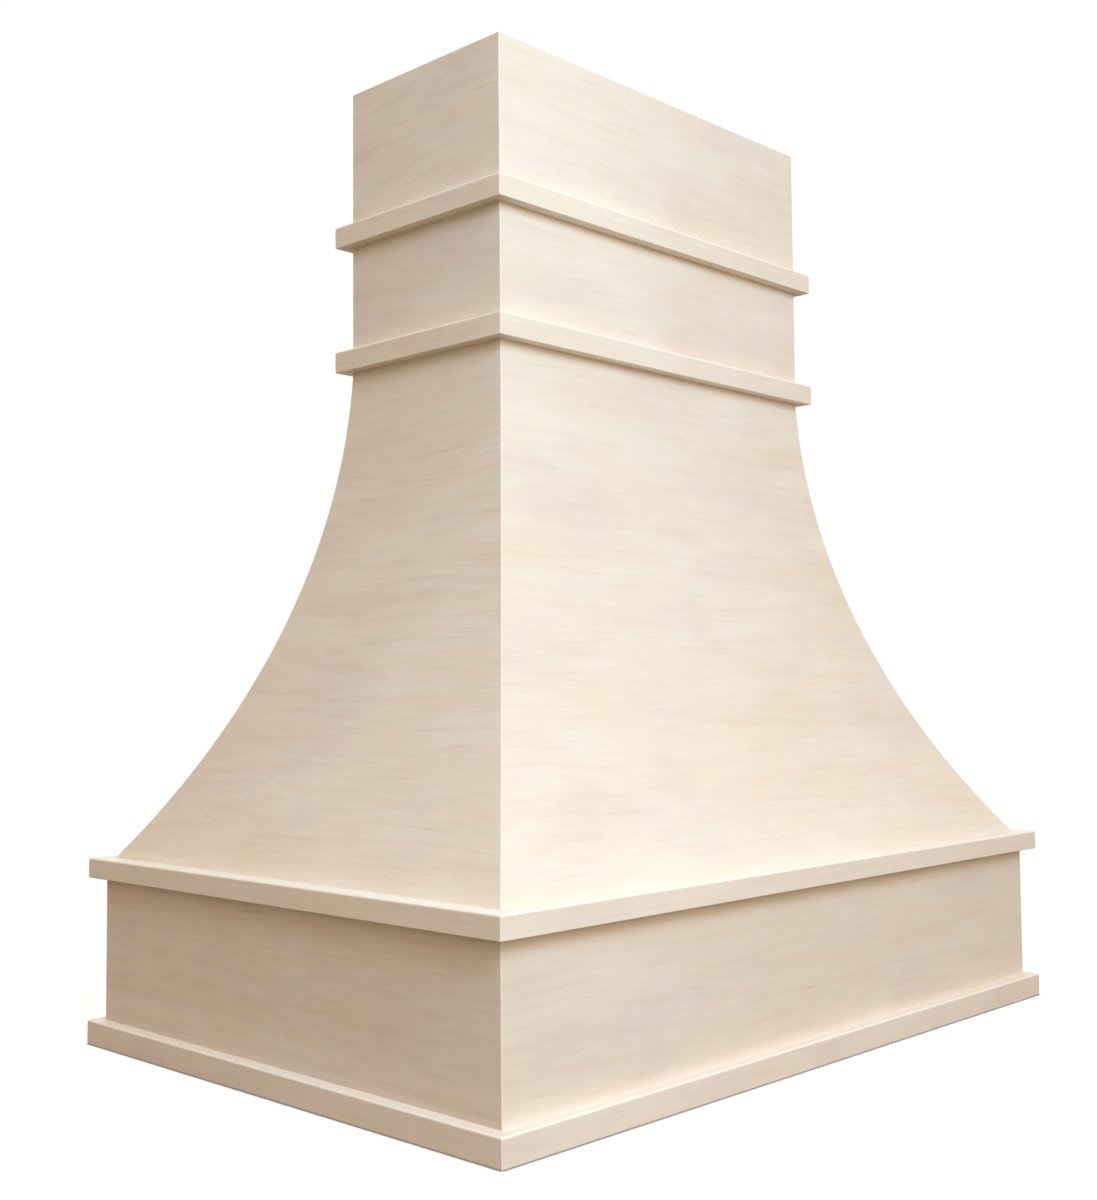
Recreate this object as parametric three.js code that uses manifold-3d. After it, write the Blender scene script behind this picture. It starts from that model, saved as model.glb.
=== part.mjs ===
// A four-sided range hood cover in maple: a square-cornered chimney, a concave flare
// and a straight apron, trimmed with four rings of mitred straps, over a frame of rails,
// ribs and posts. Millimetres, +Z up, front towards -Y. The origin is the middle of the
// bottom opening, level with the apron's lower edge.
//
// Every piece is a length of stock. Its section is drawn as (reach, height) pairs, where
// reach is how far a point stands out past the chimney's face, and negative is inside.
import * as THREE from "three";
import { mergeVertices } from "three/addons/utils/BufferGeometryUtils.js";
import Module from "manifold-3d";

const wasm = await Module();
wasm.setup();

// The outer form
const CHIMNEY_WIDTH = 703;
const CHIMNEY_DEPTH = 322;
const CHIMNEY_RISE = 432; // from the waist strap's underside to the ceiling
const FLARE_RISE = 726; // from the ledge to the waist strap's underside
const FLARE_REACH = 258; // how far the apron stands out past the chimney
const FLARE_RADIUS = 1350;
const APRON_RISE = 272;
const LEDGE = 9; // the strip of apron left bare in front of the flare's foot

// Stock
const BOARD = 19; // chimney and apron boards
const PANEL = 12; // the bent panels of the flare

// Straps
const STRAP = 19;
const EASE = 2; // radius of a strap's rounded edges
const BASE_STRAP_HEIGHT = 35;
const LEDGE_STRAP_HEIGHT = 29;
const WAIST_STRAP_HEIGHT = 32;
const UPPER_STRAP_HEIGHT = 32;
const UPPER_STRAP_LIFT = 192; // from the waist strap's underside to the upper strap's
const PANEL_LAP = 16; // how far the flare panels run up behind the waist strap

// Frames inside
const CEILING_RAIL_HEIGHT = 60;
const CEILING_RAIL_THICKNESS = 19;
const CEILING_HOLE_SPACING = 250;
const WAIST_RAIL = 45;
const RIB_DEPTH = 45;
const RIB_THICKNESS = 19;
const LONG_RIB_SPACING = 300; // front and back
const SHORT_RIB_SPACING = 170; // left and right
const DECK_WIDTH = 90;
const DECK_THICKNESS = 19;
const POST = 38;
const POST_LIFT = 60; // from the apron's lower edge to a post's foot

// Rails for the fan insert
const INSERT_DEPTH = 490; // between the two rails
const INSERT_RAIL_THICKNESS = 38;
const INSERT_RAIL_HEIGHT = 60;
const INSERT_RAIL_LIFT = 60;
const INSERT_HOLE_SPACING = 300;
const BRACKET_LEG = 40;
const BRACKET_STEEL = 3;
const BRACKET_HEIGHT = 30;
const BRACKET_HOLE_INSET = 12; // from the end of a leg

const SCREW_HOLE = 5;
const FIT = 0.3; // clearance between a rib and the panel bent over it

const FLARE_STEPS = 24;
const EASE_STEPS = 2;
const HOLE_SIDES = 16;

// Heights and reaches that follow from them
const WAIST = APRON_RISE + FLARE_RISE;
const TOP = WAIST + CHIMNEY_RISE;
const JOINT = WAIST + PANEL_LAP;
const APRON_INSIDE = FLARE_REACH - BOARD;
const FLARE_FOOT = FLARE_REACH - LEDGE;

// Half of the chimney's size across a side and along it, and the side's turn about Z
const SIDES = {
  front: { turn: 0, across: CHIMNEY_DEPTH / 2, along: CHIMNEY_WIDTH / 2 },
  right: { turn: Math.PI / 2, across: CHIMNEY_WIDTH / 2, along: CHIMNEY_DEPTH / 2 },
  back: { turn: Math.PI, across: CHIMNEY_DEPTH / 2, along: CHIMNEY_WIDTH / 2 },
  left: { turn: -Math.PI / 2, across: CHIMNEY_WIDTH / 2, along: CHIMNEY_DEPTH / 2 },
};
const LONG_SIDES = ["front", "back"];
const SHORT_SIDES = ["left", "right"];

const FINISHES = {
  maple: { color: "#efe0c9", roughness: 0.55, metalness: 0 },
  strap: { color: "#ecdcc4", roughness: 0.5, metalness: 0 },
  plywood: { color: "#d9bf98", roughness: 0.7, metalness: 0 },
  steel: { color: "#b9bcc0", roughness: 0.35, metalness: 1 },
};

const cover = new THREE.Group();
const groups = {};
for (const [name, side] of Object.entries(SIDES)) {
  groups[name] = new THREE.Group();
  groups[name].rotation.z = side.turn;
  cover.add(groups[name]);
}

function place(name, sideName, geometry, finish) {
  const mesh = new THREE.Mesh(geometry, new THREE.MeshStandardMaterial(FINISHES[finish]));
  mesh.name = name;
  groups[sideName].add(mesh);
}

// Sections

function outline(points) {
  return new THREE.Shape(points.map(([reach, height]) => new THREE.Vector2(reach, height)));
}

function rectangle(inner, outer, bottom, top) {
  return outline([
    [inner, bottom],
    [outer, bottom],
    [outer, top],
    [inner, top],
  ]);
}

// A strap lies against a face and has its two outer edges rounded over.
function strapSection(face, bottom, height) {
  const centre = face + STRAP - EASE;
  const top = bottom + height;
  const shape = new THREE.Shape();
  shape.moveTo(face, bottom);
  shape.lineTo(centre, bottom);
  shape.absarc(centre, bottom + EASE, EASE, -Math.PI / 2, 0);
  shape.lineTo(centre + EASE, top - EASE);
  shape.absarc(centre, top - EASE, EASE, 0, Math.PI / 2);
  shape.lineTo(face, top);
  return shape;
}

// The flare is one arc. Its centre lies outside the cover, level with the chimney, at the
// place that puts the arc's two ends on the waist and on the foot.
function flareCentre() {
  const chord = Math.hypot(FLARE_FOOT, FLARE_RISE);
  const distance = Math.sqrt(FLARE_RADIUS ** 2 - (chord / 2) ** 2);
  return {
    reach: FLARE_FOOT / 2 + (distance * FLARE_RISE) / chord,
    height: APRON_RISE + FLARE_RISE / 2 + (distance * FLARE_FOOT) / chord,
  };
}

const CENTRE = flareCentre();

function flareReach(height, radius) {
  return CENTRE.reach - Math.sqrt(radius ** 2 - (CENTRE.height - height) ** 2);
}

// Points of an arc about the flare's centre, from one height down to another.
function flareArc(radius, from, to) {
  const points = [];
  for (let step = 0; step <= FLARE_STEPS; step++) {
    const height = from + ((to - from) * step) / FLARE_STEPS;
    points.push([flareReach(height, radius), height]);
  }
  return points;
}

// A bent panel: straight for its lap behind the waist strap, then curved to its foot.
function panelSection() {
  const outer = flareArc(FLARE_RADIUS, WAIST, APRON_RISE);
  const inner = flareArc(FLARE_RADIUS + PANEL, WAIST, APRON_RISE);
  inner[0] = [-PANEL, WAIST];
  return outline([[0, JOINT], ...outer, ...inner.reverse(), [-PANEL, JOINT]]);
}

function ribSection() {
  const edge = flareArc(FLARE_RADIUS + PANEL + FIT, JOINT - WAIST_RAIL, APRON_RISE);
  const back = edge.map(([reach, height]) => [reach - RIB_DEPTH, height]);
  return outline([...edge, ...back.reverse()]);
}

// Lengths of stock

// Carries a section along a side. Each end says how far from the side's middle the stock
// is cut, as a function of reach: a mitre grows with reach, and a square cut doesn't.
function stock(section, side, start, end) {
  const geometry = new THREE.ExtrudeGeometry(section, {
    depth: 1,
    bevelEnabled: false,
    curveSegments: EASE_STEPS,
  });
  const position = geometry.getAttribute("position");
  for (let i = 0; i < position.count; i++) {
    const reach = position.getX(i);
    const height = position.getY(i);
    const along = position.getZ(i) > 0.5 ? end(reach) : start(reach);
    position.setXYZ(i, -along, -(side.across + reach), height);
  }
  geometry.computeVertexNormals();
  return geometry;
}

function mitred(section, side) {
  return stock(
    section,
    side,
    (reach) => -(side.along + reach),
    (reach) => side.along + reach,
  );
}

// How far along a side the face of a neighbouring piece is, rounded as that face is.
function faceOf(side, reach) {
  return side.along + Math.fround(reach);
}

// Stock cut square at both ends, against a face of its neighbours.
function butted(section, side, reach) {
  const end = faceOf(side, reach);
  return stock(
    section,
    side,
    () => -end,
    () => end,
  );
}

// Stock cut square, a given length of it centred on a place along the side.
function cutAt(section, side, middle, length) {
  return stock(
    section,
    side,
    () => middle - length / 2,
    () => middle + length / 2,
  );
}

// Cuts

function solidOf(geometry) {
  const bare = geometry.clone();
  bare.deleteAttribute("normal");
  bare.deleteAttribute("uv");
  const merged = mergeVertices(bare);
  return new wasm.Manifold(
    new wasm.Mesh({
      numProp: 3,
      vertProperties: merged.getAttribute("position").array,
      triVerts: new Uint32Array(merged.index.array),
    }),
  );
}

function geometryOf(solid) {
  const mesh = solid.getMesh();
  const geometry = new THREE.BufferGeometry();
  geometry.setAttribute("position", new THREE.BufferAttribute(mesh.vertProperties, 3));
  geometry.setIndex(new THREE.BufferAttribute(mesh.triVerts, 1));
  const faceted = geometry.toNonIndexed();
  faceted.computeVertexNormals();
  return faceted;
}

function drill(geometry, holes) {
  return geometryOf(holes.reduce((solid, hole) => solid.subtract(solidOf(hole)), solidOf(geometry)));
}

function cylinder(length) {
  return new THREE.CylinderGeometry(SCREW_HOLE / 2, SCREW_HOLE / 2, length, HOLE_SIDES);
}

// An upright hole through everything from below a height to above another.
function uprightHole(along, out, bottom, top) {
  const hole = cylinder(top - bottom + 2 * SCREW_HOLE);
  hole.rotateX(Math.PI / 2);
  hole.translate(-along, -out, (bottom + top) / 2);
  return hole;
}

// Rings of four pieces

function mitredRing(name, section, finish) {
  for (const [sideName, side] of Object.entries(SIDES)) {
    place(`${name}_${sideName}`, sideName, mitred(section, side), finish);
  }
}

// A flat frame inside a box: its long rails run from wall to wall, its short ones between.
function frame(name, outer, width, bottom, top, finishRail) {
  const section = rectangle(outer - width, outer, bottom, top);
  for (const sideName of LONG_SIDES) {
    const rail = butted(section, SIDES[sideName], outer);
    place(`${name}_${sideName}`, sideName, finishRail(rail, SIDES[sideName]), "plywood");
  }
  for (const sideName of SHORT_SIDES) {
    const rail = butted(section, SIDES[sideName], outer - width);
    place(`${name}_${sideName}`, sideName, rail, "plywood");
  }
}

const asCut = (rail) => rail;

// The shell

function chimneyBoards() {
  mitredRing("chimney_board", rectangle(-BOARD, 0, JOINT, TOP), "maple");
}

function flarePanels() {
  mitredRing("flare_panel", panelSection(), "maple");
}

function apronBoards() {
  mitredRing("apron_board", rectangle(APRON_INSIDE, FLARE_REACH, 0, APRON_RISE), "maple");
}

function straps() {
  const ledge = APRON_RISE - LEDGE_STRAP_HEIGHT;
  const upper = WAIST + UPPER_STRAP_LIFT;
  mitredRing("base_strap", strapSection(FLARE_REACH, 0, BASE_STRAP_HEIGHT), "strap");
  mitredRing("ledge_strap", strapSection(FLARE_REACH, ledge, LEDGE_STRAP_HEIGHT), "strap");
  mitredRing("waist_strap", strapSection(0, WAIST, WAIST_STRAP_HEIGHT), "strap");
  mitredRing("upper_strap", strapSection(0, upper, UPPER_STRAP_HEIGHT), "strap");
}

// The frame

// The ceiling frame's long rails are drilled for the screws into the ceiling.
function ceilingFrame() {
  const bottom = TOP - CEILING_RAIL_HEIGHT;
  const drilled = (rail, side) => {
    const out = side.across - BOARD - CEILING_RAIL_THICKNESS / 2;
    const places = [-CEILING_HOLE_SPACING, 0, CEILING_HOLE_SPACING];
    return drill(
      rail,
      places.map((along) => uprightHole(along, out, bottom, TOP)),
    );
  };
  frame("ceiling_rail", -BOARD, CEILING_RAIL_THICKNESS, bottom, TOP, drilled);
}

function waistFrame() {
  frame("waist_rail", -PANEL, WAIST_RAIL, JOINT - WAIST_RAIL, JOINT, asCut);
}

function deck() {
  frame("deck", APRON_INSIDE, DECK_WIDTH, APRON_RISE - DECK_THICKNESS, APRON_RISE, asCut);
}

function ribs() {
  const section = ribSection();
  for (const sideName of LONG_SIDES) {
    [-1, 0, 1].forEach((step, i) => {
      const rib = cutAt(section, SIDES[sideName], step * LONG_RIB_SPACING, RIB_THICKNESS);
      place(`flare_rib_${sideName}_${i + 1}`, sideName, rib, "plywood");
    });
  }
  for (const sideName of SHORT_SIDES) {
    [-0.5, 0.5].forEach((step, i) => {
      const rib = cutAt(section, SIDES[sideName], step * SHORT_RIB_SPACING, RIB_THICKNESS);
      place(`flare_rib_${sideName}_${i + 1}`, sideName, rib, "plywood");
    });
  }
}

// The two ends of a long side, by the hand they lie on. A side's plus end is on the left
// at the front and on the right at the back.
function endsOf(sideName) {
  const plus = sideName === "front" ? "left" : "right";
  const minus = sideName === "front" ? "right" : "left";
  return [
    { hand: plus, sign: 1 },
    { hand: minus, sign: -1 },
  ];
}

// Stock between two distances from a side's end wall, at its plus or its minus end.
function atEnd(section, side, sign, inner, outer) {
  const near = sign * faceOf(side, inner);
  const far = sign * faceOf(side, outer);
  return stock(
    section,
    side,
    () => Math.min(near, far),
    () => Math.max(near, far),
  );
}

function cornerPosts() {
  const top = APRON_RISE - DECK_THICKNESS;
  const section = rectangle(APRON_INSIDE - POST, APRON_INSIDE, POST_LIFT, top);
  for (const sideName of LONG_SIDES) {
    for (const { hand, sign } of endsOf(sideName)) {
      const post = atEnd(section, SIDES[sideName], sign, APRON_INSIDE - POST, APRON_INSIDE);
      place(`corner_post_${sideName}_${hand}`, sideName, post, "plywood");
    }
  }
}

// Rails for the insert, and the angle brackets behind their ends

function insertRails() {
  const top = INSERT_RAIL_LIFT + INSERT_RAIL_HEIGHT;
  for (const sideName of LONG_SIDES) {
    const side = SIDES[sideName];
    const inner = INSERT_DEPTH / 2 - side.across;
    const section = rectangle(inner, inner + INSERT_RAIL_THICKNESS, INSERT_RAIL_LIFT, top);
    const out = (INSERT_DEPTH + INSERT_RAIL_THICKNESS) / 2;
    const holes = [-1.5, -0.5, 0.5, 1.5].map((step) =>
      uprightHole(step * INSERT_HOLE_SPACING, out, INSERT_RAIL_LIFT, top),
    );
    const rail = drill(butted(section, side, APRON_INSIDE), holes);
    place(`insert_rail_${sideName}`, sideName, rail, "plywood");
  }
}

// One leg of the bracket lies on the rail and the other on the apron board at its end.
function bracket(side, sign) {
  const face = INSERT_DEPTH / 2 + INSERT_RAIL_THICKNESS - side.across;
  const bottom = INSERT_RAIL_LIFT + (INSERT_RAIL_HEIGHT - BRACKET_HEIGHT) / 2;
  const top = bottom + BRACKET_HEIGHT;
  const inset = BRACKET_LEG - BRACKET_HOLE_INSET;
  const onRail = rectangle(face, face + BRACKET_STEEL, bottom, top);
  const onBoard = rectangle(face, face + BRACKET_LEG, bottom, top);
  const railLeg = atEnd(onRail, side, sign, APRON_INSIDE - BRACKET_LEG, APRON_INSIDE);
  const boardLeg = atEnd(onBoard, side, sign, APRON_INSIDE - BRACKET_STEEL, APRON_INSIDE);
  const end = side.along + APRON_INSIDE;
  const middle = (bottom + top) / 2;
  const railHole = cylinder(BRACKET_LEG);
  railHole.translate(-sign * (end - inset), -(side.across + face), middle);
  const boardHole = cylinder(BRACKET_LEG);
  boardHole.rotateZ(Math.PI / 2);
  boardHole.translate(-sign * end, -(side.across + face + inset), middle);
  const angle = geometryOf(solidOf(railLeg).add(solidOf(boardLeg)));
  return drill(angle, [railHole, boardHole]);
}

function insertBrackets() {
  for (const sideName of LONG_SIDES) {
    for (const { hand, sign } of endsOf(sideName)) {
      const angle = bracket(SIDES[sideName], sign);
      place(`insert_bracket_${sideName}_${hand}`, sideName, angle, "steel");
    }
  }
}

chimneyBoards();
flarePanels();
apronBoards();
straps();
ceilingFrame();
waistFrame();
ribs();
deck();
cornerPosts();
insertRails();
insertBrackets();

export default cover;
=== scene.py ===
# %% [markdown]
# # A wooden range hood cover, dressed in maple
#
# The cover is a cabinet maker's shell that hides a fan and its duct. It is sold
# unfinished: bare maple, sanded, ready for the buyer's own paint or stain. Its form is
# plain, so two things carry the look: crisp mitred corners with barely eased edges, and
# the quiet figure of the wood.
#
# The frame below holds every piece at its real size. This script keeps the pieces that
# already have the right shape, and makes the ones that need softened edges again.

# %% Load the frame
import math

import bpy
import numpy as np
from mathutils import Matrix, Vector


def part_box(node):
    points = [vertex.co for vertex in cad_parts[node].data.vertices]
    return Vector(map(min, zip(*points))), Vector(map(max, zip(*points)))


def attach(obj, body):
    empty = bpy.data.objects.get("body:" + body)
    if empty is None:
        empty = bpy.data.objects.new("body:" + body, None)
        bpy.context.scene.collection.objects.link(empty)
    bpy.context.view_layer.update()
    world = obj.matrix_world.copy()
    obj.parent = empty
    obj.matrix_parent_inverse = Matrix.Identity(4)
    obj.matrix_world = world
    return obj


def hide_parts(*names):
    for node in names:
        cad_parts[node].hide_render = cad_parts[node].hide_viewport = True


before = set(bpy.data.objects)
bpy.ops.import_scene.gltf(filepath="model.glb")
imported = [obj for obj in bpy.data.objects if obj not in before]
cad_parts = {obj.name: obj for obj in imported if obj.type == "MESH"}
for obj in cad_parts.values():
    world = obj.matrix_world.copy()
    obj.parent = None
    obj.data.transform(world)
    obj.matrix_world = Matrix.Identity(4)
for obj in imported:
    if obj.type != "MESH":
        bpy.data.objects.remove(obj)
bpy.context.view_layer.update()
print("pieces in the frame:", len(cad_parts))

# %% [markdown]
# ## Sizes
#
# Nothing is typed in twice. The sizes are read from the boxes round the framed pieces:
# the chimney gives its half width and half depth, the apron how far it stands out, and
# each strap its own height. Only the flare's radius has to be repeated, because a box
# doesn't say how round a thing is.
#
# A point on the shell is given by its **reach**, how far it stands out past the
# chimney's face, its **height**, and how far **along** its side it lies.

# %% Read the sizes
MM = 0.001
FLARE_RADIUS = 1350 * MM

chimney_low, chimney_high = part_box("chimney_board_front")
apron_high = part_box("apron_board_front")[1]
panel_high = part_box("flare_panel_front")[1]
base_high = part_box("base_strap_front")[1]
rail_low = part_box("waist_rail_front")[0]
waist_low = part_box("waist_strap_front")[0]

HALF_WIDTH = chimney_high[0]
HALF_DEPTH = -chimney_low[1]
TOP = chimney_high[2]
JOINT = chimney_low[2]
BOARD = chimney_high[1] - chimney_low[1]
WAIST = waist_low[2]
LEDGE_HEIGHT = apron_high[2]
BASE_HEIGHT = base_high[2]
APRON_REACH = apron_high[0] - HALF_WIDTH
FOOT_REACH = panel_high[0] - HALF_WIDTH
PANEL = HALF_DEPTH + rail_low[1]
STRAP = -HALF_DEPTH - waist_low[1]
print(f"chimney {2 * HALF_WIDTH:.3f} x {2 * HALF_DEPTH:.3f} m")
print(f"apron reach {APRON_REACH:.3f} m, flare foot {FOOT_REACH:.3f} m")
print(f"board {BOARD / MM:.0f}, panel {PANEL / MM:.0f}, strap {STRAP / MM:.0f} mm")

# %% [markdown]
# ## The camera
#
# The photographer stood at the left front corner, a little above the apron, and looked
# very slightly up. A camera is three things: where it is, which way it looks and how
# long its lens is. The numbers were solved so that the corners of the cover fall where
# they do in the picture. Blender's lens is given for the picture's long side, so a
# focal length in pixels becomes millimetres by the ratio of the sensor to that side.

# %% Place the camera
PICTURE_HEIGHT = 1200  # pixels
SENSOR = 36.0  # mm
FOCAL_PIXELS = 1506.7
CAMERA_PLACE = Vector((-1779.8, -1621.7, 515.8)) * MM
CAMERA_YAW = math.radians(46.111)
CAMERA_PITCH = math.radians(3.406)
CAMERA_ROLL = math.radians(-0.468)

camera_data = bpy.data.cameras.new("camera")
camera_data.lens = FOCAL_PIXELS * SENSOR / PICTURE_HEIGHT
camera_data.sensor_width = SENSOR
camera = bpy.data.objects.new("camera", camera_data)
bpy.context.scene.collection.objects.link(camera)
turn = (
    Matrix.Rotation(-CAMERA_YAW, 4, "Z")
    @ Matrix.Rotation(math.pi / 2 + CAMERA_PITCH, 4, "X")
    @ Matrix.Rotation(CAMERA_ROLL, 4, "Z")
)
camera.matrix_world = Matrix.Translation(CAMERA_PLACE) @ turn
bpy.context.scene.camera = camera
print(f"lens {camera_data.lens:.1f} mm at {tuple(round(v, 2) for v in CAMERA_PLACE)}")

# %% [markdown]
# ## A small kit for materials
#
# A material is a small graph of nodes. One function adds a node, sets its fields, links
# or fills its inputs and gives back one output, so that each line below reads as one
# step of the recipe. Colours are written as the hex values seen on a screen, and one
# function turns them to the linear values that light is added up in.


# %% Colours and nodes
TOE, TOE_SLOPE, LIFT, GAMMA = 0.04045, 12.92, 0.055, 2.4  # the sRGB standard's numbers


def linear(code):
    """An sRGB hex colour as linear RGBA: each channel is undone by the screen's curve.

    Below the toe the curve is a straight line, and above it a power of the channel.
    """
    channels = np.array([int(code[i : i + 2], 16) for i in (1, 3, 5)]) / 255
    power = ((channels + LIFT) / (1 + LIFT)) ** GAMMA
    return (*np.where(channels <= TOE, channels / TOE_SLOPE, power).tolist(), 1.0)


def add(tree, kind, inputs=None, out=0, **settings):
    """A new node of a kind, set and linked; gives back the output that is asked for."""
    node = tree.nodes.new("ShaderNode" + kind)
    for field, value in settings.items():
        setattr(node, field, value)
    for socket, value in (inputs or {}).items():
        if isinstance(value, bpy.types.NodeSocket):
            tree.links.new(value, node.inputs[socket])
        else:
            node.inputs[socket].default_value = value
    return node.outputs[out] if node.outputs else node


FACTOR, A, B, MIXED = 0, 6, 7, 2  # the colour sockets of a Mix node


def new_material(name):
    """An empty material and its node tree."""
    material = bpy.data.materials.new(name)
    material.use_nodes = True
    material.node_tree.nodes.clear()
    return material, material.node_tree


# %% [markdown]
# ## Maple
#
# Hard maple is one of the palest cabinet woods: cream, with growth rings so fine and so
# close in tone that from across a room they show only as soft level wisps. Sliced for
# veneer it also shows **cathedrals**, long pointed arches where the knife ran along a
# ring, and short **flecks** where it cut across the rays. The wood is sanded and bare,
# so it has no gloss to speak of.
#
# Each of those is one layer here. A photograph wrapped round the boards would show them
# too, but would repeat, and would stretch on the flare. So all layers are noise,
# squeezed across the grain and stretched along it, because wood fibre is long and thin.
# The arches come from the contour lines of one broad noise, as hills give rings on a
# map. Real fibre is a few tenths of a millimetre wide, too fine to show at this
# distance, so the streaks are drawn a few millimetres wide.
#
# The eye sees two kinds of difference in such wood. The broad one is a change of
# **tone**: clouds and level bands where the wood turns from cream to tan. The fine one
# is made of **marks**: thin streaks that are darker and a touch olive, because they are
# shadowed pores. So the broad layers pick the colour between a pale and a tan one, and
# the fine ones then take it a little way towards an olive brown. Between the two sizes
# the wood wavers towards honey, and over a hand's breadth towards rose, both barely
# seen.
#
# Eased edges and level tops get a painted highlight: their colour is taken towards a
# near-white. The last few centimetres above the base strap get painted shade, a little
# duller and greyer.
#
# The pattern reads the piece's own `grain` map, laid out in metres: the first
# coordinate runs along the board and the second across it. A bent panel is then grained
# over its curve just as the flat veneer was. The sizes below are real ones, in
# millimetres: along the grain first, then across it.


# %% Noise, stretched along the grain
def grain_noise(tree, place, along, across, detail=2.0, roughness=0.5):
    """Noise round 0.5, whose blobs are about along by across millimetres."""
    per_metre = (1 / (along * MM), 1 / (across * MM), 1)
    squeezed = add(tree, "Mapping", {"Vector": place, "Scale": per_metre})
    sockets = {
        "Vector": squeezed,
        "Scale": 1.0,
        "Detail": detail,
        "Roughness": roughness,
    }
    return add(tree, "TexNoise", sockets, noise_dimensions="2D")


def wandering(tree, place, along, across, sway):
    """The place, pushed across the grain by a slow noise, so that no streak is ruled.

    The push is the noise less 0.5, times the sway; all three sizes are in millimetres.
    """
    slow = grain_noise(tree, place, along, across, detail=1.0)
    terms = {0: slow, 1: sway * MM, 2: -sway * MM / 2}
    push = add(tree, "Math", terms, operation="MULTIPLY_ADD")
    offset = add(tree, "CombineXYZ", {"Y": push})
    return add(tree, "VectorMath", {0: place, 1: offset}, operation="ADD")


def weighed(tree, middle, layers):
    """The middle plus the sum of weight times (layer less 0.5)."""
    total = middle - sum(weight for layer, weight in layers) / 2
    for layer, weight in layers:
        terms = {0: layer, 1: weight, 2: total}
        total = add(tree, "Math", terms, operation="MULTIPLY_ADD")
    return total


def contours(tree, field, count, width):
    """Lines from 0 to 1 where a field times count comes near a whole number."""
    steps = add(tree, "Math", {0: field, 1: count}, operation="MULTIPLY")
    away = add(tree, "Math", {0: steps, 1: 0.5}, operation="PINGPONG")
    limits = {"Value": away, "From Max": width, "To Min": 1.0, "To Max": 0.0}
    return add(tree, "MapRange", limits, interpolation_type="SMOOTHSTEP")


def above(tree, layer, low, high):
    """0 where a layer is under low, 1 where it is over high, and smooth between."""
    limits = {"Value": layer, "From Min": low, "From Max": high}
    return add(tree, "MapRange", limits, interpolation_type="SMOOTHSTEP")


# %% Tone: clouds and bands between cream and tan
TONE_MIDDLE = 0.44  # 0 is the palest wood and 1 the tannest


def stronger(layers, figure):
    """The same layers, each with its weight times the figure."""
    return [(layer, weight * figure) for layer, weight in layers]


def maple_tone(tree, place, bands, wisps, tones, figure):
    """The broad colour: a mix of the two tones by clouds, bands and wisps."""
    clouds = grain_noise(tree, place, 380, 100, detail=5.0, roughness=0.68)
    layers = stronger([(clouds, 0.82), (bands, 0.10), (wisps, 0.11)], figure)
    pale, tan = tones
    ends = {FACTOR: weighed(tree, TONE_MIDDLE, layers), A: linear(pale), B: linear(tan)}
    return add(tree, "Mix", ends, out=MIXED, data_type="RGBA")


# %% Marks: streaks, lines and arches towards brown
MARK_BROWN = "#958c57"
MARK_LEAST = 0.03  # how far towards the brown the wood is where no mark crosses it
ARCH_COUNT = 12.0  # contour lines between the hill's foot and its top
ARCH_WIDTH = 0.12  # half a line's width, as a share of the step to the next


def maple_marks(tree, place, grain, bands, wisps, fibre, figure):
    """How far each point is on its way to the marks' brown.

    The least, plus every layer times its weight. The sum stays above 0, because a Mix
    node would cut off what goes below. Glints are paler than the wood round them, so
    their weight is negative.
    """
    streaks = above(tree, grain_noise(tree, grain, 100, 3.8, 3.0, 0.55), 0.61, 0.78)
    lines = grain_noise(tree, grain, 200, 5.5, detail=3.0, roughness=0.6)
    glints = above(tree, grain_noise(tree, grain, 100, 5.0, 2.0), 0.60, 0.78)
    hill = grain_noise(tree, grain, 450, 100, detail=1.0, roughness=0.4)
    arched = above(tree, grain_noise(tree, place, 240, 90), 0.54, 0.66)
    arches = {0: contours(tree, hill, ARCH_COUNT, ARCH_WIDTH), 1: arched}
    arches = add(tree, "Math", arches, operation="MULTIPLY")
    layers = [(bands, 0.028), (wisps, 0.040), (streaks, 0.10), (lines, 0.025)]
    layers += [(glints, -0.04), (fibre, 0.025), (arches, 0.025)]
    layers = stronger(layers, figure)
    middle = MARK_LEAST * figure + sum(weight for layer, weight in layers) / 2
    return weighed(tree, middle, layers)


# %% Tints: honey, rose and the painted shade at the foot
HONEY, ROSE = "#fffefb", "#fcfbff"
FOOT_SHADE_HEIGHT = 28 * MM  # how far up from the base strap the painted shade reaches


def tints(tree, place, grain, foot_shade):
    """Pairs of a factor and the colour that the wood is multiplied by where it is 1."""
    yield above(tree, grain_noise(tree, grain, 140, 30), 0.40, 0.60), HONEY
    yield above(tree, grain_noise(tree, place, 220, 120), 0.50, 0.72), ROSE
    if foot_shade is None:
        return
    # Painted shade: the strip just above the base strap is multiplied towards a greyer
    # colour
    height = add(tree, "SeparateXYZ", {0: add(tree, "TexCoord", out="Object")}, out="Z")
    limits = {"Value": height, "From Min": BASE_HEIGHT, "From Max": BASE_HEIGHT + FOOT_SHADE_HEIGHT}
    yield add(tree, "MapRange", {**limits, "To Min": 1.0, "To Max": 0.0}), foot_shade


# %% Painted highlight: pale arrises and level tops
# The near-white of the painted highlight on eased edges and level tops
HIGHLIGHT_PAINT = "#fffaf1"
BRIGHTEST_HIGHLIGHT = 0.9  # how far towards that colour the palest point goes
# How far up a face's normal points where it begins to count as a top, and fully counts
SLOPING, LEVEL = 0.80, 0.95


def painted_highlight(tree, top):
    """Painted highlight per point: the larger of its arris and its level top times top.
    """
    highlight = add(tree, "Attribute", out="Fac", attribute_name="arris")
    if top > 0:
        normal = add(tree, "NewGeometry", out="Normal")
        upward = add(tree, "SeparateXYZ", {0: normal}, out="Z")
        level = {0: above(tree, upward, SLOPING, LEVEL), 1: top}
        level = add(tree, "Math", level, operation="MULTIPLY")
        highlight = add(tree, "Math", {0: highlight, 1: level}, operation="MAXIMUM")
    return add(tree, "Math", {0: highlight, 1: BRIGHTEST_HIGHLIGHT}, operation="MULTIPLY")


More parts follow.
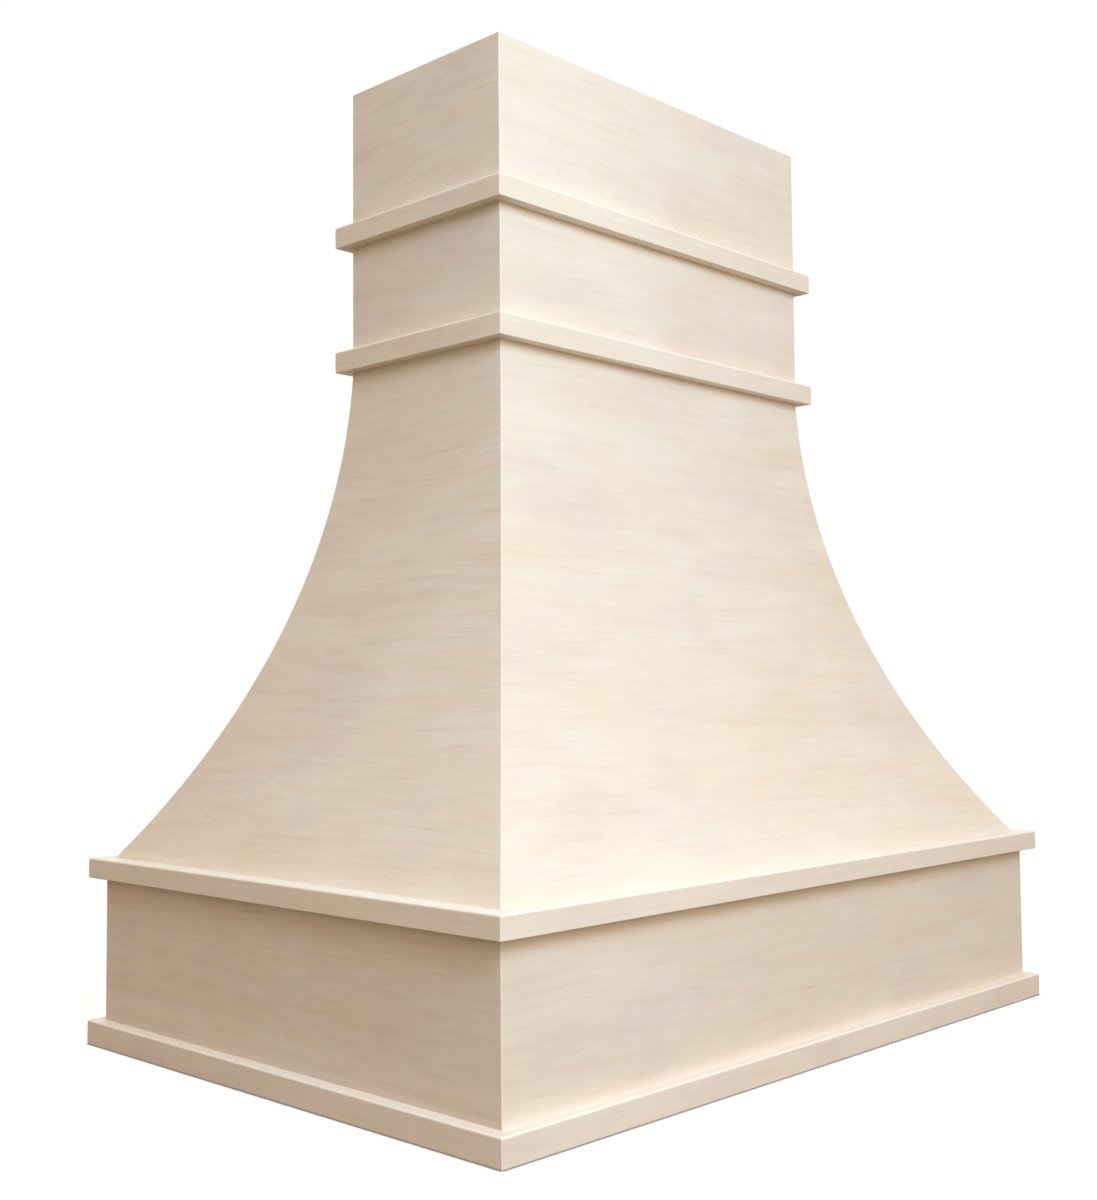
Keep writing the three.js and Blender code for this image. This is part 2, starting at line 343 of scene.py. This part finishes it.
# %% Sanded maple
WOOD_IOR = 1.48
SANDED_GLOSS = 0.15  # bare sanded wood mirrors less than a smooth surface of its IOR
FIBRE_BUMP = {"Strength": 0.10, "Distance": 0.4 * MM}


def maple(name, tones, figure=1.0, top=0.0, foot_shade=None):
    """Sanded maple between its palest and tannest tone, painted paler where eased.

    Figure makes every mark of the grain stronger. Top is how much a level top gets the
    same painted highlight as an eased edge, and foot_shade is the colour of the painted
    shade on the strip above the base strap.
    """
    material, tree = new_material(name)
    place = add(tree, "UVMap", uv_map="grain")
    grain = wandering(tree, place, 360, 130, 34)
    bands = above(tree, grain_noise(tree, grain, 260, 14, 4.0, 0.60), 0.48, 0.78)
    wisps = above(tree, grain_noise(tree, grain, 160, 10, 3.0, 0.55), 0.56, 0.80)
    fibre = grain_noise(tree, grain, 45, 2.2)

    colour = maple_tone(tree, place, bands, wisps, tones, figure)
    marks = maple_marks(tree, place, grain, bands, wisps, fibre, figure)
    ends = {FACTOR: marks, A: colour, B: linear(MARK_BROWN)}
    colour = add(tree, "Mix", ends, out=MIXED, data_type="RGBA")
    # Honey and rose tints, then the painted shade at the foot
    for factor, tint in tints(tree, place, grain, foot_shade):
        ends = {FACTOR: factor, A: colour, B: linear(tint)}
        colour = add(
            tree, "Mix", ends, out=MIXED, data_type="RGBA", blend_type="MULTIPLY"
        )
    # Painted highlight on eased edges and level tops
    ends = {FACTOR: painted_highlight(tree, top), A: colour, B: linear(HIGHLIGHT_PAINT)}
    colour = add(tree, "Mix", ends, out=MIXED, data_type="RGBA")

    roughness = {"Value": fibre, "To Min": 0.50, "To Max": 0.64}
    surface = {
        "Base Color": colour,
        "Roughness": add(tree, "MapRange", roughness),
        "IOR": WOOD_IOR,
        "Specular IOR Level": SANDED_GLOSS,
        "Normal": add(tree, "Bump", {**FIBRE_BUMP, "Height": fibre}),
    }
    add(tree, "OutputMaterial", {"Surface": add(tree, "BsdfPrincipled", surface)})
    return material


# %% The six maple finishes
FACE_TONES, STRAP_TONES = ("#faf2e8", "#ead6c0"), ("#fcf3e8", "#eedbc4")
SIDE_TONES, LOW_TONES = ("#f9eee2", "#ecd7c0"), ("#fff6ed", "#f5e1cd")
FIGURED = 1.35  # how much stronger the figure is on the left and right
FACE_FOOT_SHADE, SIDE_FOOT_SHADE = "#fbfcff", "#e3e2e6"  # painted shade above the base strap, greyer left and right
# Sliced veneer, sanded flat: the calm, even cream of the two long sides.
maple_face = maple("maple_veneer_sanded", FACE_TONES, top=1.0, foot_shade=FACE_FOOT_SHADE)
# Veneer from nearer the heart: more wisps and arches, for the left and right.
maple_side = maple("maple_veneer_figured", FACE_TONES, FIGURED, top=1.0, foot_shade=SIDE_FOOT_SHADE)
# Solid stock, planed and sanded: a shade paler than the veneer beside it.
maple_strap = maple("maple_solid_sanded", STRAP_TONES)
maple_side_strap = maple("maple_solid_figured", SIDE_TONES, FIGURED)
# The two low rings have the palest tones; their level tops get a painted highlight.
maple_ledge = maple("maple_ledge_sanded", LOW_TONES, top=1.0)
maple_base = maple("maple_base_sanded", LOW_TONES, top=0.3)
print("maple finishes:", sum(m.name.startswith("maple") for m in bpy.data.materials))

# %% [markdown]
# ## Plywood behind the face
#
# The boards are veneered plywood, so their backs are plain birch, yellower than the
# maple and with a looser figure, and their cut edges show the plies: thin layers whose
# grain runs in turn along the edge, pale, and into it, dark. Looking up into the cover
# or down into the chimney, this is what is seen.


# %% Birch backs
def matt(tree, colour, roughness):
    """Bare plywood's surface: a colour and no more gloss than paper."""
    surface = {"Base Color": colour, "Roughness": roughness, "IOR": WOOD_IOR}
    add(tree, "OutputMaterial", {"Surface": add(tree, "BsdfPrincipled", surface)})


def birch(name, pale, dark):
    """The rotary cut back of birch plywood: broad wavy figure and little else."""
    material, tree = new_material(name)
    place = add(tree, "UVMap", uv_map="grain")
    grain = wandering(tree, place, 350, 200, 100)
    broad = grain_noise(tree, grain, 500, 60, detail=4.0, roughness=0.6)
    fine = grain_noise(tree, grain, 90, 3, detail=3.0)
    tone = above(tree, weighed(tree, 0.5, [(broad, 0.9), (fine, 0.5)]), 0.32, 0.70)
    ends = {FACTOR: tone, A: linear(pale), B: linear(dark)}
    matt(tree, add(tree, "Mix", ends, out=MIXED, data_type="RGBA"), 0.68)
    return material


# Peeled in one turning sheet, so the figure is wide and wavy, and a warmer yellow.
birch_back = birch("birch_plywood_back", "#eddec3", "#dec9a5")
print("material:", birch_back.name)

# %% Ply edges
PLY = 2.7 * MM  # one layer of 19 mm plywood with seven plies
END_GRAIN = "#b8966a"  # the plies that are cut across, which drink in light


def plies(tree, across):
    """0 in a pale layer and 1 in a dark one: the distance across, folded ply by ply."""
    count = add(tree, "Math", {0: across, 1: PLY}, operation="DIVIDE")
    folded = add(tree, "Math", {0: count, 1: 1.0}, operation="PINGPONG")
    return above(tree, folded, 0.42, 0.58)


def ply_edge(name):
    """Cut plywood: pale and dark layers by turns, along the second coordinate."""
    material, tree = new_material(name)
    place = add(tree, "UVMap", uv_map="grain")
    across = add(tree, "SeparateXYZ", {0: place}, out="Y")
    pores = grain_noise(tree, place, 4, 1.2, detail=3.0)
    dark = weighed(tree, 0.5, [(plies(tree, across), 0.75), (pores, 0.4)])
    ends = {FACTOR: dark, A: linear("#ead9ba"), B: linear(END_GRAIN)}
    matt(tree, add(tree, "Mix", ends, out=MIXED, data_type="RGBA"), 0.78)
    return material


# Sawn and left rough: stripes of pale and brown with no shine at all.
cut_edge = ply_edge("birch_plywood_edge")
FACE, BACK, EDGE = 0, 1, 2  # the material slots of a board
print("material:", cut_edge.name)

# %% [markdown]
# ## Mitred stock
#
# Every outer piece is a length of stock with its ends mitred at 45 degrees. The shape
# is a surface of two parameters: one runs round the section, and the other along the
# length. A point's half length is the side's half length plus its reach, and that alone
# makes the mitre, on a flat board and on a curved panel alike.
#
# A corner that is perfectly sharp looks like paper. Sanding takes it down by a
# millimetre or two, and that sliver is what catches the light. So the last few columns
# of the grid follow a quarter circle in plan, of which each of the two pieces carries
# half, up to the mitre. The sliver is also painted paler, as a painted highlight.


# %% Sections
ARC_STEPS = 4
HOLD = 1.0 * MM  # a row of points this close to a bend keeps the flat beside it flat
# The painted highlight on an eased edge, point by point: flat before, arc, flat after.
ARRIS_HIGHLIGHT = np.array([0, 0.6, 1, 1, 1, 0.6, 0])


def eased_section(corners):
    """A closed outline from corners (reach, height, radius), each rounded by an arc.

    A corner's arc touches both its edges at radius times tan(half the turn) from the
    corner, and its points are the centre plus the radius at evenly spaced angles. A
    second array gives each point's painted highlight: 1 in the middle of an arc, else
    0, and 0 on an edge that stands on the floor, which is left unpainted.
    """
    points, arris = [], []
    count = len(corners)
    places = np.array([corner[:2] for corner in corners])
    for i, (reach, height, radius) in enumerate(corners):
        here = places[i]
        if radius == 0:
            points.append(here)
            arris.append(0)
            continue
        before = here - places[i - 1]
        after = places[(i + 1) % count] - here
        before /= np.hypot(*before)
        after /= np.hypot(*after)
        bend = math.atan2(before[0] * after[1] - before[1] * after[0], before @ after)
        tangent = radius * math.tan(abs(bend) / 2)
        inward = np.array([-before[1], before[0]]) * math.copysign(1, bend)
        centre = here - before * tangent + inward * radius
        angles = np.linspace(0, bend, ARC_STEPS + 1)
        first = -inward * radius
        turned_r = first[0] * np.cos(angles) - first[1] * np.sin(angles)
        turned_h = first[0] * np.sin(angles) + first[1] * np.cos(angles)
        points.append(here - before * (tangent + HOLD))
        points.extend(centre + np.stack([turned_r, turned_h], axis=1))
        points.append(here + after * (tangent + HOLD))
        arris.extend(ARRIS_HIGHLIGHT * (height > 0))
    return np.array(points), np.array(arris)


# %% Sides
# The four sides: half the chimney's size across the side and along it, and the two
# directions in plan that reach and along point in.
SIDES = {
    "front": (HALF_DEPTH, HALF_WIDTH, (0, -1), (-1, 0)),
    "right": (HALF_WIDTH, HALF_DEPTH, (1, 0), (0, -1)),
    "back": (HALF_DEPTH, HALF_WIDTH, (0, 1), (1, 0)),
    "left": (HALF_WIDTH, HALF_DEPTH, (-1, 0), (0, 1)),
}


def by_side(long_side, short_side):
    """One thing for the front and back, and another for the left and right."""
    long_sides = dict.fromkeys(("front", "back"), long_side)
    return long_sides | dict.fromkeys(("left", "right"), short_side)


print("sides:", *SIDES)

# %% The grid of one length of stock
CORNER_STEPS = 4
MITRE = math.radians(45)
MITRE_HIGHLIGHT = 0.42  # painted highlight on the eased upright corners, paler than the boards


def mitred_grid(section, exposed, side, ease):
    """Places of the grid, as an array of columns by section points by three.

    Column by column the angle goes from 45 degrees at the mitre to 0 on the flat. There
    an exposed point lies at (cos, sin) times the easing radius from the centre of the
    corner's arc, and a point inside stays straight along its edge to the mitre.
    """
    across, half, outward, sideways = side
    angles = np.append(np.linspace(MITRE, 0, CORNER_STEPS + 1), 0)[:, None]
    hold = np.append(np.zeros(CORNER_STEPS + 1), HOLD)[:, None]
    reach, height = section[:, 0], section[:, 1]
    towards_mitre = np.sin(angles) / math.sin(MITRE)
    drawn_in = reach - exposed * ease * (1 - np.cos(angles))
    straight = (1 - exposed) * ease * (1 - math.cos(MITRE)) * towards_mitre
    half_length = half + reach - ease * (1 - np.sin(angles)) + straight - hold
    reaches = np.concatenate([drawn_in, drawn_in[::-1]])
    alongs = np.concatenate([-half_length, half_length[::-1]])
    out = across + reaches
    x = out * outward[0] + alongs * sideways[0]
    y = out * outward[1] + alongs * sideways[1]
    z = np.broadcast_to(height, x.shape)
    # Painted highlight on the eased upright corners, strongest at the mitre
    edge_highlight = MITRE_HIGHLIGHT * exposed * towards_mitre
    return np.stack([x, y, z], axis=2), alongs, np.concatenate([edge_highlight, edge_highlight[::-1]])


# %% The quads and the grain map of one length of stock
def quad_corners(columns, count):
    """The column and the point of each quad's four corners, strip by strip.

    Points are counted on past the last one, because the strip that closes the section
    ends at its full length and not at 0. Modulo the count they are the grid's own.
    """
    column, point = np.meshgrid(np.arange(columns - 1), np.arange(count), indexing="ij")
    at_column = np.stack([column, column, column + 1, column + 1], axis=2)
    at_point = np.stack([point, point + 1, point + 1, point], axis=2)
    return at_column.reshape(-1, 4), at_point.reshape(-1, 4)


def grain_map(alongs, section, at_column, at_point):
    """Distances in metres along the board and round the section, corner by corner."""
    steps = np.hypot(*np.diff(np.vstack([section, section[:1]]), axis=0).T)
    round_it = np.concatenate([[0], np.cumsum(steps)])
    u = alongs[at_column, at_point % len(section)]
    return np.stack([u, round_it[at_point]], axis=2).reshape(-1, 2)


# %% The mesh of one length of stock
SHARP = math.radians(35)  # a turn beyond this keeps its crease


def stock_mesh(name, grid, alongs, arris, section, slots, materials, grain_at):
    """A closed mesh from the grid: strips of quads round it and a flat cap at each end.

    Its grain map is moved to the board's own place in the wood, and shows the section
    itself on the caps. Its arris attribute tells the material where to paint a
    highlight on an eased edge.
    """
    columns, count = grid.shape[:2]
    at_column, at_point = quad_corners(columns, count)
    quads = at_column * count + at_point % count
    last = (columns - 1) * count
    caps = [list(range(count - 1, -1, -1)), [last + i for i in range(count)]]
    mesh = bpy.data.meshes.new(name)
    mesh.from_pydata(grid.reshape(-1, 3).tolist(), [], quads.tolist() + caps)

    cap_map = np.vstack([section[caps[0]], section])
    grain = np.vstack([grain_map(alongs, section, at_column, at_point), cap_map])
    grain += np.array(grain_at)
    uv_map = mesh.uv_layers.new(name="grain")
    uv_map.data.foreach_set("uv", grain.ravel().astype(np.float32))

    edge_highlight = mesh.attributes.new("arris", "FLOAT", "POINT")
    edge_highlight.data.foreach_set("value", arris.ravel().astype(np.float32))
    for material in materials:
        mesh.materials.append(material)
    face_slots = np.concatenate([np.asarray(slots)[at_point[:, 0]], [EDGE, EDGE]])
    face_slots = np.minimum(face_slots, len(materials) - 1)
    mesh.polygons.foreach_set("material_index", face_slots.astype(np.int32))
    mesh.polygons.foreach_set("use_smooth", np.ones(len(mesh.polygons), dtype=bool))
    mesh.set_sharp_from_angle(angle=SHARP)
    mesh.update()
    return mesh


# %% [markdown]
# ## Rings of four
#
# Front, right, back and left are cut from different places in the wood, so the figure
# doesn't run on round a corner. Each piece stands for its own plain one in the frame.

# %% A ring of mitred pieces
CORNER_EASE = 1.6 * MM
# How far apart in the wood two pieces are cut, in metres along and across the grain,
# and how much further along each side of a ring is.
NEXT_ALONG, NEXT_ACROSS, NEXT_SIDE = 3.1, 1.7, 0.7
pieces = []


def ring(family, section, arris, exposed, slots, materials):
    """Four mitred pieces of one section, each in the place of its framed node.

    For each point of the section, arris says how much painted highlight it gets as an
    eased edge, and exposed whether it faces the room. For each strip, slots give its
    place in the side's list of materials.
    """
    for order, (side_name, side) in enumerate(SIDES.items()):
        node = f"{family}_{side_name}"
        grid, alongs, mitres = mitred_grid(section, exposed, side, CORNER_EASE)
        edge_highlight = np.maximum(mitres, arris)
        along = NEXT_ALONG * len(pieces) + NEXT_SIDE * order
        grain_at = (along, NEXT_ACROSS * len(pieces))
        wood = materials[side_name]
        name = f"maple_{node}"
        mesh = stock_mesh(name, grid, alongs, edge_highlight, section, slots, wood, grain_at)
        piece = bpy.data.objects.new(name, mesh)
        bpy.context.scene.collection.objects.link(piece)
        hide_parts(node)
        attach(piece, "root")
        pieces.append(piece)
    print(f"{family}: four pieces, {len(section)} points round the section")


# %% Which points and strips of a section are seen
SAME_HEIGHT = 1e-6
WIDEST_ARRIS = 4 * MM  # a level strip wider than this is the board's own cut edge


def outer_half(section, limit):
    """1 for the points of a section that stand further out than the limit, else 0."""
    return (section[:, 0] > limit).astype(float)


def edge_slots(section, back_reach):
    """The slot of each strip between two points.

    BACK if both its ends lie further in than that reach, EDGE if it is level and wide,
    and FACE if neither.
    """
    ahead = np.roll(section, -1, axis=0)
    level = np.abs(ahead[:, 1] - section[:, 1]) < SAME_HEIGHT
    wide = np.abs(ahead[:, 0] - section[:, 0]) > WIDEST_ARRIS
    at_back = (section[:, 0] < back_reach) & (ahead[:, 0] < back_reach)
    return np.where(at_back, BACK, np.where(level & wide, EDGE, FACE))


# %% [markdown]
# ## The chimney
#
# Four flat boards, grained level. Their top edge meets the ceiling, so it is cut square
# and shows its plies. Only the arris towards the room is eased.

# %% Chimney boards
BOARD_EASE = 1.2 * MM
board_finish = by_side(
    [maple_face, birch_back, cut_edge],
    [maple_side, birch_back, cut_edge],
)
chimney_section, chimney_arris = eased_section(
    [
        (-BOARD, JOINT, 0),
        (0, JOINT, 0),
        (0, TOP, BOARD_EASE),
        (-BOARD, TOP, 0),
    ]
)
ring(
    "chimney_board",
    chimney_section,
    chimney_arris,
    outer_half(chimney_section, -BOARD / 2),
    edge_slots(chimney_section, -BOARD / 2),
    board_finish,
)

# %% [markdown]
# ## The flare
#
# A bent panel on each side: layers of bending plywood glued over curved ribs. Its
# outline is one arc from the waist to the ledge. A circle through two points with a
# known radius has its centre on the perpendicular through the middle of the chord, at
# the square root of the radius squared less half the chord squared.
#
# The panel's back is the same arc, larger by the panel's thickness.


# %% The flare's arc
def flare_centre():
    """Reach and height of the arc's centre, from its two ends and its radius."""
    fall = WAIST - LEDGE_HEIGHT
    chord = math.hypot(FOOT_REACH, fall)
    distance = math.sqrt(FLARE_RADIUS**2 - (chord / 2) ** 2)
    reach = FOOT_REACH / 2 + distance * fall / chord
    return reach, LEDGE_HEIGHT + fall / 2 + distance * FOOT_REACH / chord


CENTRE_REACH, CENTRE_HEIGHT = flare_centre()


def flare_reach(height, radius):
    """Reach of the arc at a height: the centre's, less the triangle's other side."""
    return CENTRE_REACH - np.sqrt(radius**2 - (CENTRE_HEIGHT - height) ** 2)


print(f"arc's centre: reach {CENTRE_REACH:.3f} m, height {CENTRE_HEIGHT:.3f} m")

# %% Flare panels
FLARE_STEPS = 64  # points up the face, and as many down the back


def flare_section():
    """Up the panel's face, over its straight lap behind the strap and down its back."""
    heights = np.linspace(LEDGE_HEIGHT, WAIST, FLARE_STEPS)
    face = np.stack([flare_reach(heights, FLARE_RADIUS), heights], axis=1)
    back = np.stack([flare_reach(heights, FLARE_RADIUS + PANEL), heights], axis=1)[::-1]
    back[0] = (-PANEL, WAIST)  # the arc's end is drawn in to the lap's flat back
    lap = np.array([[0, JOINT], [-PANEL, JOINT]])
    return np.vstack([face, lap, back])


flare_outline = flare_section()
flare_exposed = np.zeros(len(flare_outline))
flare_exposed[: FLARE_STEPS + 1] = 1
flare_slots = np.full(len(flare_outline), BACK)
flare_slots[:FLARE_STEPS] = FACE
flare_slots[FLARE_STEPS] = EDGE  # the top of the lap
flare_slots[-1] = EDGE  # the foot
ring(
    "flare_panel",
    flare_outline,
    np.zeros(len(flare_outline)),
    flare_exposed,
    flare_slots,
    board_finish,
)

# %% [markdown]
# ## The apron
#
# Four flat boards again. The lower edge rests on nothing once the cover is hung, and is
# seen from below, so it shows its plies. The upper edge is the ledge at the flare's
# foot, so it has a strip of veneer.

# %% Apron boards
apron_inside = APRON_REACH - BOARD
apron_section, apron_arris = eased_section(
    [
        (apron_inside, 0, 0),
        (APRON_REACH, 0, 0),
        (APRON_REACH, LEDGE_HEIGHT, 0),
        (apron_inside, LEDGE_HEIGHT, 0),
    ]
)
apron_slots = edge_slots(apron_section, apron_inside + BOARD / 2)
apron_slots[2] = FACE  # the veneered ledge
ring(
    "apron_board",
    apron_section,
    apron_arris,
    outer_half(apron_section, apron_inside + BOARD / 2),
    apron_slots,
    board_finish,
)

# %% [markdown]
# ## The straps
#
# Square solid maple, eased along both outer edges by hand with a sanding block. Lit
# from above, that easing catches the light, and a painted highlight along it makes the
# bright thread that draws each strap brighter still.

# %% Four rings of straps
STRAP_EASE = 2.2 * MM
LOWER_EASE = 1.2 * MM


def strap_ring(name, face, wood, side_wood):
    """A ring of straps against a face at a given reach, as high as its framed node."""
    low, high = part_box(f"{name}_front")
    section, arris = eased_section(
        [
            (face, low[2], 0),
            (face + STRAP, low[2], LOWER_EASE),
            (face + STRAP, high[2], STRAP_EASE),
            (face, high[2], 0),
        ]
    )
    exposed = outer_half(section, face + STRAP / 2)
    slots = np.full(len(section), FACE)
    finish = by_side([wood], [side_wood])
    ring(name, section, arris, exposed, slots, finish)


strap_ring("base_strap", APRON_REACH, maple_base, maple_base)
strap_ring("ledge_strap", APRON_REACH, maple_ledge, maple_ledge)
strap_ring("waist_strap", 0, maple_strap, maple_side_strap)
strap_ring("upper_strap", 0, maple_strap, maple_side_strap)

# %% [markdown]
# ## The frame inside
#
# The rails, ribs, deck and posts keep the shape they have in the frame. They are sawn
# plywood, and only need a finish. These pieces have no map of their own, so the pattern
# reads Object coordinates, turned so that the first runs along the piece's length.


# %% Sawn plywood for the frame
SAWN_DARKNESS = 0.6  # how dark the end grain is in a cut that the saw has furred


def sawn_plywood(name, length_axis, ply_axis):
    """Plywood with its grain along one axis and its plies stacked along another.

    The plies show only on faces that look less than half along the ply axis.
    """
    material, tree = new_material(name)
    place = add(tree, "TexCoord", out="Object")
    parts = add(tree, "SeparateXYZ", {0: place}).node.outputs
    other = ({0, 1, 2} - {length_axis, ply_axis}).pop()
    across = add(tree, "Math", {0: parts[other], 1: parts[ply_axis]}, operation="ADD")
    flat = add(tree, "CombineXYZ", {"X": parts[length_axis], "Y": across})
    grain = wandering(tree, flat, 300, 150, 60)
    tone = above(tree, grain_noise(tree, grain, 400, 30, 4.0, 0.6), 0.30, 0.72)
    ends = {FACTOR: tone, A: linear("#e9d8b8"), B: linear("#d8c09a")}
    colour = add(tree, "Mix", ends, out=MIXED, data_type="RGBA")

    normal = add(tree, "NewGeometry", out="Normal")
    facing = add(tree, "SeparateXYZ", {0: normal}, out=ply_axis)
    facing = add(tree, "Math", {0: facing}, operation="ABSOLUTE")
    on_edge = add(tree, "Math", {0: facing, 1: 0.5}, operation="LESS_THAN")
    layers = {0: plies(tree, parts[ply_axis]), 1: on_edge}
    layers = add(tree, "Math", layers, operation="MULTIPLY")
    layers = add(tree, "Math", {0: layers, 1: SAWN_DARKNESS}, operation="MULTIPLY")
    ends = {FACTOR: layers, A: colour, B: linear(END_GRAIN)}
    matt(tree, add(tree, "Mix", ends, out=MIXED, data_type="RGBA"), 0.72)
    return material


# %% Finish the frame's pieces
X, Y, Z = 0, 1, 2
# The length axis and the ply axis of each family, by the side that a piece is on
PLYWOODS = {
    "ceiling_rail": by_side((X, Y), (Y, X)),
    "waist_rail": by_side((X, Z), (Y, Z)),
    "deck": by_side((X, Z), (Y, Z)),
    "flare_rib": by_side((Z, X), (Z, Y)),
    "corner_post": by_side((Z, Y), (Z, Y)),
    "insert_rail": by_side((X, Y), (X, Y)),
}
AXIS_NAMES = "xyz"
plywood = {}
for node_name, node_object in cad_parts.items():
    family = next((f for f in PLYWOODS if node_name.startswith(f)), None)
    if family is None:
        continue
    by_name = PLYWOODS[family].items()
    axes = next(pair for side_name, pair in by_name if side_name in node_name)
    if axes not in plywood:
        tag = AXIS_NAMES[axes[0]] + AXIS_NAMES[axes[1]]
        plywood[axes] = sawn_plywood(f"sawn_plywood_{tag}", *axes)
    node_object.data.materials.clear()
    node_object.data.materials.append(plywood[axes])
print("plywood finishes:", sorted(m.name for m in plywood.values()))

# %% [markdown]
# ## Zinc plated brackets
#
# The angle brackets are pressed from zinc plated sheet. Zinc is a grey metal with a
# faint blue cast, and the plating leaves it cloudy rather than brushed.


# %% Zinc
def zinc(name):
    """Plated steel: metallic, with clouds in its colour and its roughness."""
    material, tree = new_material(name)
    place = add(tree, "TexCoord", out="Object")
    # 90 to the metre makes clouds about 11 mm wide.
    clouds = add(tree, "TexNoise", {"Vector": place, "Scale": 90.0, "Detail": 4.0})
    grey = above(tree, clouds, 0.35, 0.65)
    ends = {FACTOR: grey, A: linear("#c3c7cc"), B: linear("#a9adb3")}
    roughness = {"Value": clouds, "To Min": 0.25, "To Max": 0.50}
    surface = {
        "Base Color": add(tree, "Mix", ends, out=MIXED, data_type="RGBA"),
        "Metallic": 1.0,
        "Roughness": add(tree, "MapRange", roughness),
    }
    add(tree, "OutputMaterial", {"Surface": add(tree, "BsdfPrincipled", surface)})
    return material


zinc_plate = zinc("zinc_plated_steel")
for node_name, node_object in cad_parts.items():
    if node_name.startswith("insert_bracket"):
        node_object.data.materials.clear()
        node_object.data.materials.append(zinc_plate)
print("material:", zinc_plate.name)

# %% [markdown]
# ## Floor, backdrop and light
#
# The cover is shown on plain white. To the camera the floor and the world are white by
# their own colour, and they add no more light to the wood than a pale room would. The
# key lamp stands close, at the front and above, so the flare's near foot is brightest
# and the straps throw soft shadows down. It is cool like daylight and the rest is warm
# like a room, so the lit front reads cream and the shaded left side tan. A broad lamp
# low in front evens the apron out, and one behind the cover lights the two sides that
# the camera doesn't see.


# %% Floor
def seen_directly(tree):
    """1 for a ray that goes to the eye, straight or by a mirror or glass, else 0."""
    path = add(tree, "LightPath").node.outputs
    seen = path["Is Camera Ray"]
    for kind in ("Is Glossy Ray", "Is Transmission Ray"):
        seen = add(tree, "Math", {0: seen, 1: path[kind]}, operation="MAXIMUM")
    return seen


FLOOR_GLOW = 0.86  # the part of the white that no shadow takes away
FLOOR_SHADE = 0.22  # the part that lamps give, and a shadow takes
SHADOW_NEAR, SHADOW_FAR = 1.1, 2.6  # metres out: shadows start to fade, and are gone
FLOOR_BOUNCE = "#72624c"  # what the wood sees instead: a dim warm floor
CONTACT = 5 * MM  # how far the painted contact shadow, a dark line where wood meets floor, reaches
CONTACT_DEPTH = 2.5  # the power that deepens it
CONTACT_SAMPLES = 16


def white_floor():
    """A floor that is white to look at, with a faint shadow, and bounces little light.

    To the eye it glows, and the light that falls on it makes up the rest to white, so
    that a shadow shows as a lack of it. Further out the glow alone is white, which
    leaves no horizon.
    """
    material, tree = new_material("studio_floor")
    bounce = add(tree, "BsdfDiffuse", {"Color": linear(FLOOR_BOUNCE)})
    place = add(tree, "TexCoord", out="Object")
    distance = add(tree, "VectorMath", {0: place}, out="Value", operation="LENGTH")
    far = above(tree, distance, SHADOW_NEAR, SHADOW_FAR)
    glow = add(tree, "MapRange", {"Value": far, "To Min": FLOOR_GLOW, "To Max": 1.0})
    # Painted contact shadow: ambient occlusion darkens the glow where wood meets floor
    reach = {"Distance": CONTACT}
    contact_shade = add(tree, "AmbientOcclusion", reach, out="AO", samples=CONTACT_SAMPLES)
    contact_shade = add(tree, "Math", {0: contact_shade, 1: CONTACT_DEPTH}, operation="POWER")
    glow = add(tree, "Math", {0: glow, 1: contact_shade}, operation="MULTIPLY")
    lit = add(tree, "MapRange", {"Value": far, "To Min": FLOOR_SHADE, "To Max": 0.0})
    shaded = add(tree, "BsdfDiffuse", {"Color": lit})
    glowing = add(tree, "Emission", {"Strength": glow})
    to_eye = add(tree, "AddShader", {0: shaded, 1: glowing})
    mixed = add(tree, "MixShader", {0: seen_directly(tree), 1: bounce, 2: to_eye})
    add(tree, "OutputMaterial", {"Surface": mixed})
    return material


FLOOR_HALF = 12.0  # metres from its middle to an edge
floor_mesh = bpy.data.meshes.new("floor")
corners = np.array([(-1, -1), (1, -1), (1, 1), (-1, 1)]) * FLOOR_HALF
floor_mesh.from_pydata([(x, y, 0) for x, y in corners.tolist()], [], [(0, 1, 2, 3)])
floor_mesh.materials.append(white_floor())
floor = bpy.data.objects.new("floor", floor_mesh)
bpy.context.scene.collection.objects.link(floor)
print(f"floor: {2 * FLOOR_HALF:.0f} m square")


# %% World and lamps
def studio_world(colour, strength):
    """White to the eye and in reflections, and a soft even light on the object."""
    world = bpy.data.worlds.new("studio")
    world.use_nodes = True
    tree = world.node_tree
    tree.nodes.clear()
    light = add(tree, "Background", {"Color": linear(colour), "Strength": strength})
    white = add(tree, "Background", {"Color": linear("#ffffff"), "Strength": 1.0})
    mixed = add(tree, "MixShader", {0: seen_directly(tree), 1: light, 2: white})
    add(tree, "OutputWorld", {"Surface": mixed})
    bpy.context.scene.world = world


def lamp(name, place, target, size, power, colour):
    """A square area lamp at a place, facing a target, all in metres and watts."""
    data = bpy.data.lights.new(name, "AREA")
    data.shape = "SQUARE"
    data.size = size
    data.energy = power
    data.color = linear(colour)[:3]
    light = bpy.data.objects.new(name, data)
    facing = (Vector(target) - Vector(place)).to_track_quat("-Z", "Y")
    light.matrix_world = Matrix.Translation(place) @ facing.to_matrix().to_4x4()
    bpy.context.scene.collection.objects.link(light)


studio_world("#ffe8d0", 0.63)
lamp("key_lamp", (-1.12, -2.12, 2.02), (-0.35, -0.4, 0.7), 1.2, 46.6, "#c8e8ff")
lamp("side_lamp", (-1.97, -4.22, 1.53), (-0.1, -0.2, 0.75), 2.0, 46.7, "#ffecd7")
lamp("back_lamp", (2.60, 3.10, 1.90), (0.1, 0.2, 0.75), 2.0, 62, "#fff6ea")
bpy.context.scene.view_settings.view_transform = "Standard"
print("lamps:", *sorted(light.name for light in bpy.data.lights))
